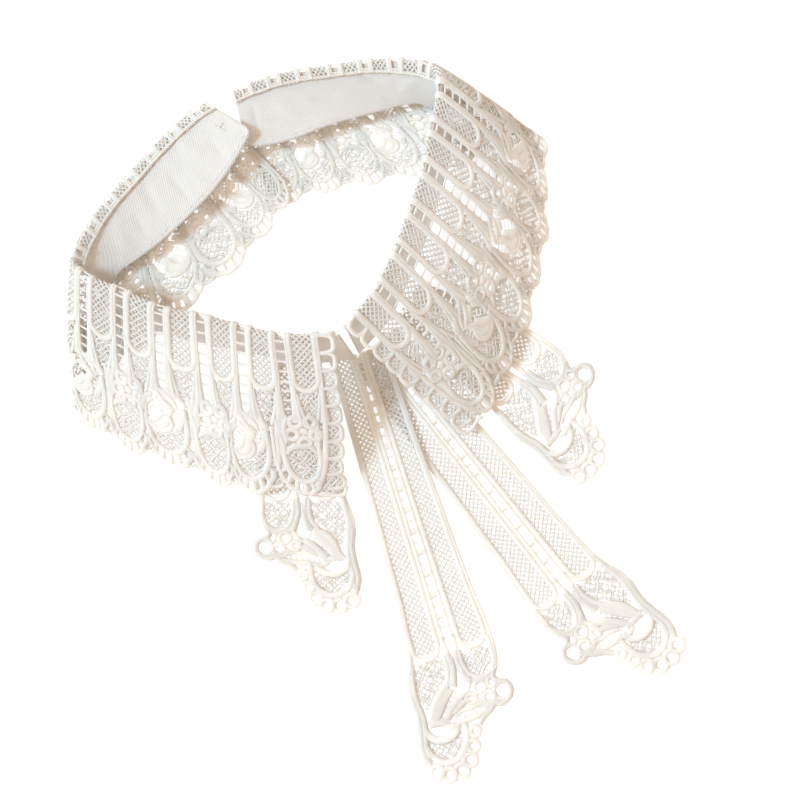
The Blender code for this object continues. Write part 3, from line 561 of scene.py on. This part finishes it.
def tail_lace(kind, first_d):
    """A tail: two long net fingers either side of a slit column, and the patterned end."""
    lace = Lace(21 if kind == "long" else 22)
    stations = list(np.arange(first_d, 106.0, 6.0)) + [107.5]

    def s_at(s, d):
        return s * tail_half_width(d, kind, first_d) / TAIL_FULL

    def down(s, width):
        lace.cord([(s_at(s, d), d) for d in stations], width)

    for side in (-1, 1):
        net = [(s_at(side * 4.6, d), d) for d in stations]
        net += [(side * 5.4, 110.0), (side * 8.6, 111.4), (side * 11.8, 110.0)]
        net += [(s_at(side * 12.8, d), d) for d in reversed(stations)]
        lace.net(net)
        loop = [(s_at(side * 3.9, d), d) for d in stations]
        loop += [(side * 4.4, 110.4), (side * 6.2, 112.3), (side * 8.7, 112.8), (side * 11.3, 112.2),
                 (side * 13.1, 110.2)]
        loop += [(s_at(side * 13.5, d), d) for d in reversed(stations)]
        lace.cord(loop, 2.0)
        down(side * 1.85, 1.5)
    for k, d in enumerate(np.arange(first_d + 3.0, 106.0, 4.0)):
        lace.bar((s_at(-1.7, d), d), (s_at(1.7, d), d), 1.0 if k % 2 else 2.3)
    tail_edge_cord(lace, kind, first_d)
    tail_upper_end(lace)
    tail_lower_end(lace)
    return lace


def tail_edge_cord(lace, kind, first_d):
    """The cord round the whole tail, heavier round the patterned end."""
    inset, heavy_inset, joined_below = 0.65, 1.3, first_d + 25
    top = [(tail_half_width(first_d + step, kind, first_d) - inset, first_d + step)
           for step in (0.0, 10.0, 20.0)]
    lower, upper = TAIL_EDGE.index((21.0, 148.5)), TAIL_EDGE.index((-3.0, 140.4))
    right = [(s - inset, d) for s, d in TAIL_EDGE[:lower + 1] if d > joined_below]
    left = [(s + inset, d) for s, d in TAIL_EDGE[upper:] if d > joined_below]
    lace.cord(top + right, 1.3)
    lace.cord(left + [(-s, d) for s, d in reversed(top)], 1.3)
    first, last = TAIL_EDGE.index((19.8, 124.0)), TAIL_EDGE.index((-14.2, 122.5))
    lace.cord([(s - heavy_inset, d) for s, d in TAIL_EDGE[first:lower + 1]], 2.4)
    lace.cord([(s + heavy_inset, d) for s, d in TAIL_EDGE[upper:last + 1]], 2.4)


def tail_upper_end(lace):
    """The two pads of irregular ground, the eyelets and the slit leaves of a tail's end."""
    right_pad = [(3.6, 114.2), (9, 113.8), (14.2, 114.0), (15.6, 119), (15.8, 125), (14.6, 130.5),
                 (12.2, 127.0), (8.6, 123.6), (4.2, 120.4)]
    lace.net(right_pad, PAD_PITCH, PAD_THREAD, wobble=0.55)
    lace.swell([(14.2, 108.5), (15.6, 114.0), (16.8, 120.0), (17.2, 126.0), (16.8, 132.0), (17.8, 138.0),
                (18.8, 143.0), (18.8, 147.0)], (1.6, 2.0, 2.2, 2.2, 2.4, 2.4, 2.2, 1.8))
    lace.swell([(3.0, 112.6), (2.9, 117.0), (4.2, 121.4), (6.4, 124.0)], (1.6, 2.2, 2.2, 1.8))
    lace.swell([(4.4, 123.4), (8.4, 126.0), (11.6, 129.4), (14.0, 133.6)], (1.8, 3.2, 3.3, 2.0))
    lace.swell([(3.4, 125.4), (7.2, 128.6), (10.4, 132.4), (12.6, 135.4)], (1.2, 2.0, 2.2, 1.6))
    for t in np.linspace(0.1, 0.95, 6):
        x, y = 1.8 + 8.6 * t, 126.0 + 9.0 * t
        lace.bar((x - 0.9, y + 0.9), (x + 0.9, y - 0.9), 0.9)
    lace.fill([(5.0, 124.6), (8.4, 128.4), (12.0, 132.6), (14.4, 136.0)], (3.6, 4.6, 4.6, 3.6))
    lace.fill([(1.0, 130.4), (5.2, 132.2), (9.0, 135.2)], (2.6, 3.4, 3.0))
    lace.fill([(14.8, 112.6), (16.8, 118.6), (17.8, 124.6), (17.6, 131.2), (18.6, 137.6), (19.4, 143.0)],
              (1.8, 2.6, 3.0, 3.0, 3.0, 2.8))
    lace.fill([(-3.6, 132.4), (-7.4, 134.2), (-11.4, 133.4)], (3.0, 3.0, 2.6))
    lace.fill([(-4.2, 124.8), (-8.0, 125.2), (-12.4, 124.0)], (2.2, 2.2, 2.4))
    for side in (-1, 1):
        lace.fill([(side * 1.6, 112.4), (side * 2.0, 118.0), (side * 3.2, 124.6)], (2.4, 2.6, 3.2))
        lace.swell([(side * 0.5, 114.0), (side * 0.9, 117.5), (side * 1.8, 121.0), (side * 2.9, 125.0)],
                   (1.2, 2.4, 2.6, 2.4))
    lace.swell([(-1.2, 130.6), (2.2, 131.6), (5.6, 134.0)], (2.0, 2.6, 1.8))
    lace.swell([(-0.8, 127.9), (3.2, 129.7), (7.0, 133.1), (9.6, 136.2)], (1.8, 3.2, 3.2, 2.0))
    lace.swell([(-3.0, 124.6), (-1.4, 127.2), (0.6, 129.2)], (2.0, 2.0, 1.8))
    left_pad = [(-13.2, 114.4), (-8.6, 113.8), (-4.0, 114.4), (-3.6, 118), (-5.6, 122.4), (-9.4, 123.4),
                (-13.2, 120.4)]
    lace.net(left_pad, PAD_PITCH, PAD_THREAD, wobble=0.55)
    lace.cord([(-14.0, 110.5), (-14.1, 116.0), (-13.6, 120.2), (-11.0, 123.6), (-7.4, 124.4), (-4.2, 122.2),
               (-2.6, 118.0), (-2.6, 112.6)], 2.2)
    lace.cord([(-1.9, 106.5), (-1.9, 110.0), (-1.4, 113.4), (-1.3, 117.0), (-2.2, 120.8),
               (-3.6, 124.6)], CORD)
    lace.cord([(1.9, 106.5), (1.9, 110.0), (1.6, 113.4), (1.5, 117.0), (2.3, 120.8),
               (3.6, 124.0)], CORD)
    lace.ring(-5.9, 127.4, 2.1, 2.1, 2.0)
    lace.ring(-1.9, 130.6, 1.75, 1.75, 1.9)
    lace.ring(-8.2, 131.9, 2.2, 1.9, 2.0)
    lace.ring(-10.6, 127.0, 1.6, 1.8, 1.7)
    lace.ring(-13.5, 131.2, 3.1, 3.0, 1.7)
    lace.swell([(-5.4, 133.2), (-1.6, 133.6), (2.4, 133.8), (6.0, 135.2)], (1.8, 1.9, 1.9, 1.4))
    for t in np.linspace(0.05, 0.95, 6):
        x, y = -4.6 + 11.6 * t, 135.2 + 1.6 * t
        lace.bar((x, y - 0.9), (x, y + 0.9), 1.0)
    lace.swell([(-6.8, 135.6), (-3.2, 136.9), (1.6, 137.4), (6.4, 138.3)], (1.6, 2.4, 2.8, 1.8))


def tail_lower_end(lace):
    """The paisley of a tail's end, its cup and the ring of eyelets round that."""
    cup = [(4.6, 140.6), (8.4, 142.4), (12.6, 142.8), (17.4, 140.2), (17.6, 144.6), (14.6, 148.8),
           (10.0, 149.2), (6.2, 147.0)]
    lace.net(cup, PAD_PITCH, PAD_THREAD, wobble=0.5)
    lace.swell([(5.2, 137.8), (7.2, 140.6), (10.8, 142.0), (14.8, 141.0), (17.2, 137.6), (16.8, 133.8)],
               (2.6, 3.1, 3.2, 3.1, 2.8, 2.2))
    lace.swell([(7.6, 136.2), (11.6, 135.6), (15.4, 135.4)], (2.4, 2.9, 2.6))
    lace.swell([(5.8, 138.8), (8.4, 137.9), (10.0, 137.0)], (2.2, 2.4, 1.6))
    lace.cord([(3.2, 137.4), (3.4, 142.4), (5.4, 146.9), (9.4, 150.0), (14.0, 149.8), (17.6, 146.4),
               (19.0, 141.4)], 2.7)
    for x, y, reach in TAIL_EYELETS:
        lace.ring(x, y, reach, reach, 2.3)
    lace.swell([(18.8, 145.4), (19.6, 147.6), (19.2, 150.0)], (2.0, 2.8, 2.2))


def stroke_curve(name, strokes, resolution):
    """A curve with a spline for each stroke, its radius the bevel, in flat millimetres."""
    curve = bpy.data.curves.new(name, "CURVE")
    curve.dimensions = "3D"
    curve.bevel_depth = 1.0
    curve.bevel_resolution = resolution
    curve.use_fill_caps = True
    for line, radii, level, closed in strokes:
        spline = curve.splines.new("POLY")
        spline.points.add(len(line) - 1)
        places = np.column_stack([line, np.full(len(line), level), np.ones(len(line))])
        spline.points.foreach_set("co", places.ravel())
        spline.points.foreach_set("radius", radii)
        spline.use_cyclic_u = closed
    return curve


def flat_mesh(name, strokes, resolution):
    curve = stroke_curve(name, strokes, resolution)
    holder = bpy.data.objects.new(name, curve)
    mesh = bpy.data.meshes.new_from_object(holder)
    bpy.data.objects.remove(holder)
    bpy.data.curves.remove(curve)
    return mesh


def lay_strokes(name, layers, place, material):
    """Turn flat strokes into one mesh, press them flatter and lay them on the piece's surface."""
    body = bmesh.new()
    for strokes, (resolution, relief, height) in layers:
        layer = flat_mesh(name, strokes, resolution)
        flat = np.empty(len(layer.vertices) * 3)
        layer.vertices.foreach_get("co", flat)
        u, v, w = flat.reshape(-1, 3).T
        pressed = relief * np.tanh(w / relief * FLATTEN) + LIFT * w + height
        layer.vertices.foreach_set("co", place(u, v, pressed).ravel())
        body.from_mesh(layer)
        bpy.data.meshes.remove(layer)
    bmesh.ops.recalc_face_normals(body, faces=body.faces[:])
    mesh = bpy.data.meshes.new(name)
    body.to_mesh(mesh)
    body.free()
    mesh.shade_smooth()
    mesh.materials.clear()
    mesh.materials.append(material)
    piece = bpy.data.objects.new(name, mesh)
    bpy.context.scene.collection.objects.link(piece)
    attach(piece, "root")
    return piece


def make_lace(name, node, lace, place, material):
    """The worked ground as the sheet of cloth, and the cords that are sewn on it."""
    worked = ((lace.threads, THREAD_LAYER), (lace.bars, BAR_LAYER))
    sewn_on = ((lace.cords, CORD_LAYER), (lace.fills, FILL_LAYER))
    ground = lay_strokes(name + "_ground", worked, place, material)
    cords = lay_strokes(name + "_cords", sewn_on, place, material)
    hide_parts(node)
    return ground, cords


def tail_place(name):
    """The lay of one tail, as its solid has it."""
    side, root_x, root_y, turn, root_z, rest_z, first_d, paisley = TAILS[name]
    angle = math.radians(turn)
    shrink = END_LENGTH["short" if first_d > 0 else "long"]

    def place(s, d, w):
        d = np.where(d < PAD_LINE, d, PAD_LINE + (d - PAD_LINE) * shrink) - first_d
        s = paisley * s
        out = root_x + d * math.sin(angle) + s * math.cos(angle)
        y = root_y - d * math.cos(angle) + s * math.sin(angle)
        fall = np.clip(1 + (y - root_y) / ROOT_RUN, 0, 1)
        lift = (rest_z - LACE_THICK / 2) * (1 - ease((LIFT_ENDS[0] - y) / (LIFT_ENDS[0] - LIFT_ENDS[1])))
        z = LACE_THICK / 2 + lift + (root_z - rest_z) * fall**2
        return to_frame(FAN_MIDDLE + side * out, y, z + w)

    return place


CREASES = {                # ends of each soft fold, its height and its half width
    "left": ((152, 3, 146, 18, -0.40, 2.6), (163, 8, 160, 23, -0.32, 2.0), (176, 2, 180, 15, 0.34, 3.0),
             (187, 11, 184, 23, -0.28, 1.8), (130, 6, 121, 22, 0.45, 4.0), (139, 10, 134, 21, -0.26, 2.2),
             (110, 8, 116, 21, -0.40, 3.0), (168, 14, 172, 24, 0.22, 1.8)),
    "right": ((166, 12, 150, 16, -0.32, 1.8), (183, 9, 172, 18, 0.3, 2.4), (141, 6, 126, 12, -0.36, 2.4),
              (120, 17, 108, 8, 0.4, 3.2), (192, 6, 194, 20, -0.25, 1.7), (132, 18, 122, 23, -0.22, 1.8)),
}
CREASE_DEPTH = 1.5
STITCH_INSET = 1.7
STITCH_LINE = 1.6         # from the fold to the upper row of stitches
STITCH_PITCH = 2.3
STITCH_THREAD = 0.42
STITCH_RAISE = 0.42
STITCH_ENDS = 4.0         # left bare at each end of a row
BAND_TOP = 0.1
BAND_GRID = (260, 32)
BAND_SHELL = 0.8


def crease_height(side, u, v):
    """The small, uneven folds pressed into the neckband's cloth."""
    height = np.zeros(len(u))
    for u0, v0, u1, v1, depth, reach in CREASES[side]:
        length = math.hypot(u1 - u0, v1 - v0)
        ahead = ((u - u0) * (u1 - u0) + (v - v0) * (v1 - v0)) / length**2
        aside = ((u - u0) * (v1 - v0) - (v - v0) * (u1 - u0)) / length
        taper = np.clip(1 - (2 * ahead - 1)**2, 0, None)
        height += CREASE_DEPTH * depth * taper * np.exp(-(aside / reach)**2)
    return height


def make_stitches(side, surface, material):
    """Machine stitches near the neckband's edges, and the small worked bar by its back end."""
    sewing = Lace(31 if side == "left" else 32)
    for v in (STITCH_LINE, STAND_HEIGHT - STITCH_INSET):
        for u in np.arange(STITCH_ENDS, FALL_LENGTH - STITCH_ENDS, STITCH_PITCH):
            sewing.cord([(u, v), (u + 0.65 * STITCH_PITCH, v)], STITCH_THREAD, sharp=True)
    if side == "left":
        sewing.swell([(193.0, 10.2), (193.1, 12.8), (193.6, 15.6)], (0.9, 1.3, 0.9))
        sewing.swell([(193.3, 12.6), (195.0, 12.2), (196.6, 12.4)], (0.9, 1.1, 0.8))

    def place(u, v, w):
        return surface.place(u, v, STITCH_RAISE + w + crease_height(side, u, v))

    piece = lay_strokes("stitches_" + side, ((sewing.cords, STITCH_LAYER),), place, material)


def make_stand(side, surface, faces):
    """Half of the neckband: a thin twill shell, its top edge at the fold and its corners at the back end
    rounded.
    """
    start, end, top = STAND_START[side], FALL_LENGTH, BAND_TOP
    body = bmesh.new()
    columns, rows = BAND_GRID
    bmesh.ops.create_grid(body, x_segments=columns, y_segments=rows, size=0.5)
    mesh = bpy.data.meshes.new("twill_" + side)
    body.to_mesh(mesh)
    body.free()
    flat = np.empty(len(mesh.vertices) * 3)
    mesh.vertices.foreach_get("co", flat)
    x, y, _ = flat.reshape(-1, 3).T
    u = start + (x + 0.5) * (end - start)
    v = top + (y + 0.5) * (STAND_HEIGHT - top)
    corner = np.clip((u - (end - STAND_CORNER)) / STAND_CORNER, 0, 1)
    inset = STAND_CORNER * (1 - np.sqrt(1 - corner**2))
    middle = (STAND_HEIGHT + top) / 2
    v = middle + (v - middle) * (1 - inset / (STAND_HEIGHT - top) * 2)
    mesh.vertices.foreach_set("co", surface.place(u, v, crease_height(side, u, v)).ravel())
    uv = mesh.uv_layers.new(name="UVMap")
    loop_vertices = np.empty(len(mesh.loops), dtype=np.int64)
    mesh.loops.foreach_get("vertex_index", loop_vertices)
    uv.data.foreach_set("uv", np.stack([u, v], axis=1)[loop_vertices].ravel() * MM)
    mesh.shade_smooth()
    for material in faces:
        mesh.materials.append(material)
    piece = bpy.data.objects.new("twill_" + side, mesh)
    bpy.context.scene.collection.objects.link(piece)
    thick = piece.modifiers.new("thickness", "SOLIDIFY")
    thick.thickness = BAND_SHELL * MM
    thick.offset = 0.0
    thick.material_offset = 1
    thick.material_offset_rim = 0
    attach(piece, "root")
    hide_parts("stand_" + side)
    return piece


LACE_TONES = ((0.90, 0.88, 0.84, 1), (0.95, 0.94, 0.92, 1))
LACE_THROUGH = 0.55       # the share of light that passes through
WARM_THROUGH = (0.98, 0.92, 0.85, 1)
TWILL_INSIDE = ((0.80, 0.745, 0.705, 1), (0.93, 0.875, 0.835, 1), 0.35)
# the outer face under the lace is a lighter, warmer copy of the inside twill: painted light, for the light
# that comes through the lace onto it
TWILL_OUTSIDE_PAINTED_LIGHT = ((0.94, 0.91, 0.87, 1), (0.98, 0.95, 0.91, 1), 0.4)
TWILL_TURN = math.radians(-62)
FLOOR_REACH = 4.0
FLOOR_GLOW = 0.5          # keeps the shadows on the pale floor as faint as the photo's
ROOM_LEVELS = (0.53, 1.18)           # strength away from the key and on its side


def new_material(name):
    material = bpy.data.materials.new(name)
    material.use_nodes = True
    tree = material.node_tree
    return material, tree, tree.nodes["Principled BSDF"]


def let_light_through(tree, shader, share):
    """Cotton lets some light through, and warms it."""
    through = tree.nodes.new("ShaderNodeBsdfTranslucent")
    through.inputs["Color"].default_value = WARM_THROUGH
    mixed = tree.nodes.new("ShaderNodeMixShader")
    mixed.inputs["Fac"].default_value = share
    tree.links.new(shader.outputs["BSDF"], mixed.inputs[1])
    tree.links.new(through.outputs["BSDF"], mixed.inputs[2])
    tree.links.new(mixed.outputs["Shader"], tree.nodes["Material Output"].inputs["Surface"])


def lace_material():
    """Cream-white cotton thread with fine satin stitches."""
    material, tree, shader = new_material("cotton_lace")
    node, link = tree.nodes.new, tree.links.new
    place = node("ShaderNodeTexCoord")
    patches = node("ShaderNodeTexNoise")
    patches.inputs["Scale"].default_value = 55.0
    patches.inputs["Detail"].default_value = 3.0
    tones = node("ShaderNodeValToRGB")
    tones.color_ramp.elements[0].position = 0.3
    tones.color_ramp.elements[0].color = LACE_TONES[0]
    tones.color_ramp.elements[1].position = 0.65
    tones.color_ramp.elements[1].color = LACE_TONES[1]
    stitches = node("ShaderNodeTexNoise")
    stitches.inputs["Scale"].default_value = 2600.0
    stitches.inputs["Detail"].default_value = 2.0
    bump = node("ShaderNodeBump")
    bump.inputs["Strength"].default_value = 0.5
    bump.inputs["Distance"].default_value = 0.0003
    link(place.outputs["Object"], patches.inputs["Vector"])
    link(place.outputs["Object"], stitches.inputs["Vector"])
    link(patches.outputs["Fac"], tones.inputs["Fac"])
    link(tones.outputs["Color"], shader.inputs["Base Color"])
    link(stitches.outputs["Fac"], bump.inputs["Height"])
    link(bump.outputs["Normal"], shader.inputs["Normal"])
    shader.inputs["Roughness"].default_value = 0.75
    shader.inputs["Sheen Weight"].default_value = 0.15
    let_light_through(tree, shader, LACE_THROUGH)
    return material


def twill_material(name, dark, light, through):
    """Soft off-white twill: fine diagonal ribs 0.65 mm apart."""
    material, tree, shader = new_material(name)
    node, link = tree.nodes.new, tree.links.new
    place = node("ShaderNodeTexCoord")
    turn = node("ShaderNodeMapping")
    turn.inputs["Rotation"].default_value = (0, 0, TWILL_TURN)
    ribs = node("ShaderNodeTexWave")
    ribs.inputs["Scale"].default_value = 480.0
    ribs.inputs["Distortion"].default_value = 0.6
    ribs.inputs["Detail"].default_value = 1.0
    bump = node("ShaderNodeBump")
    bump.inputs["Strength"].default_value = 0.7
    bump.inputs["Distance"].default_value = 0.0003
    tones = node("ShaderNodeValToRGB")
    tones.color_ramp.elements[0].color = dark
    tones.color_ramp.elements[1].color = light
    link(place.outputs["UV"], turn.inputs["Vector"])
    link(turn.outputs["Vector"], ribs.inputs["Vector"])
    link(ribs.outputs["Fac"], tones.inputs["Fac"])
    link(tones.outputs["Color"], shader.inputs["Base Color"])
    link(ribs.outputs["Fac"], bump.inputs["Height"])
    link(bump.outputs["Normal"], shader.inputs["Normal"])
    shader.inputs["Roughness"].default_value = 0.8
    shader.inputs["Sheen Weight"].default_value = 0.2
    let_light_through(tree, shader, through)
    return material


def add_floor():
    body = bmesh.new()
    bmesh.ops.create_grid(body, x_segments=1, y_segments=1, size=FLOOR_REACH)
    mesh = bpy.data.meshes.new("floor")
    body.to_mesh(mesh)
    body.free()
    material, tree, shader = new_material("pale_floor")
    shader.inputs["Base Color"].default_value = (0.88, 0.88, 0.88, 1)
    shader.inputs["Roughness"].default_value = 0.9
    shader.inputs["Emission Color"].default_value = (0.87, 0.93, 1.0, 1)
    shader.inputs["Emission Strength"].default_value = FLOOR_GLOW
    mesh.materials.append(material)
    floor = bpy.data.objects.new("floor", mesh)
    bpy.context.scene.collection.objects.link(floor)


# The photo looks straight down, with the collar turned in it
PHOTO_TURN = math.radians(-28.0)
PHOTO_MIDDLE = (7.55, 2.05)          # what lies at the photo's middle
PHOTO_WIDTH = 288.0                  # millimetres across the photo, on the surface
CAMERA_HEIGHT = 900.0


def add_camera():
    camera = bpy.data.cameras.new("camera")
    camera.sensor_fit = "HORIZONTAL"
    camera.angle = 2 * math.atan(PHOTO_WIDTH / 2 / CAMERA_HEIGHT)
    holder = bpy.data.objects.new("camera", camera)
    holder.location = (PHOTO_MIDDLE[0] * MM, PHOTO_MIDDLE[1] * MM, CAMERA_HEIGHT * MM)
    holder.rotation_euler = (0, 0, PHOTO_TURN)
    bpy.context.scene.collection.objects.link(holder)
    bpy.context.scene.camera = holder


KEY_RISE = math.radians(42.0)
KEY_TURN = math.radians(6.0)         # past the photo's left, towards its top
KEY_SPREAD = math.radians(14.0)
KEY_POWER = 3.6


def add_lights():
    """A broad cool key from the photo's left, in a warm, even room."""
    key = bpy.data.lights.new("key", "SUN")
    key.energy = KEY_POWER
    key.angle = KEY_SPREAD
    key.color = (0.44, 0.76, 1.0)
    holder = bpy.data.objects.new("key", key)
    way = math.pi + PHOTO_TURN - KEY_TURN
    flat = math.cos(KEY_RISE)
    direction = Vector((flat * math.cos(way), flat * math.sin(way), math.sin(KEY_RISE)))
    holder.rotation_euler = direction.to_track_quat("Z", "Y").to_euler()
    bpy.context.scene.collection.objects.link(holder)
    add_room(way)


def add_room(way):
    """A warm room, brighter on the key's side."""
    world = bpy.data.worlds.new("room")
    world.use_nodes = True
    tree = world.node_tree
    direction = tree.nodes.new("ShaderNodeTexCoord")
    side = tree.nodes.new("ShaderNodeVectorMath")
    side.operation = "DOT_PRODUCT"
    side.inputs[1].default_value = (math.cos(way), math.sin(way), 0.35)
    level = tree.nodes.new("ShaderNodeMapRange")
    level.inputs["From Min"].default_value = -0.8
    level.inputs["From Max"].default_value = 0.8
    level.inputs["To Min"].default_value = ROOM_LEVELS[0]
    level.inputs["To Max"].default_value = ROOM_LEVELS[1]
    tree.links.new(direction.outputs["Generated"], side.inputs[0])
    tree.links.new(side.outputs["Value"], level.inputs["Value"])
    background = tree.nodes["Background"]
    tree.links.new(level.outputs["Result"], background.inputs["Strength"])
    background.inputs["Color"].default_value = (1.0, 0.825, 0.67, 1)
    bpy.context.scene.world = world
    bpy.context.scene.view_settings.view_transform = "Standard"


lace_white = lace_material()
twill_white = twill_material("white_twill", *TWILL_INSIDE)
# the neckband's outer face gets painted light: the same twill, lighter and warmer than its inside
twill_outside_painted_light = twill_material("twill_outside_painted_light", *TWILL_OUTSIDE_PAINTED_LIGHT)
for side in ("left", "right"):
    fall, band = half_surfaces(side)
    ground, cords = make_lace("lace_" + side, "fall_" + side, fall_lace(side), fall.place, lace_white)
    make_stitches(side, band, lace_white)
    faces = (twill_outside_painted_light, twill_white) if side == "left" else (twill_white, twill_outside_painted_light)
    piece = make_stand(side, band, faces)
for name, row in TAILS.items():
    kind = "short" if row[6] > 0 else "long"
    drawn = tail_lace(kind, row[6])
    ground, cords = make_lace(name.replace("tail", "tie"), name, drawn, tail_place(name), lace_white)

add_floor()
add_camera()
add_lights()
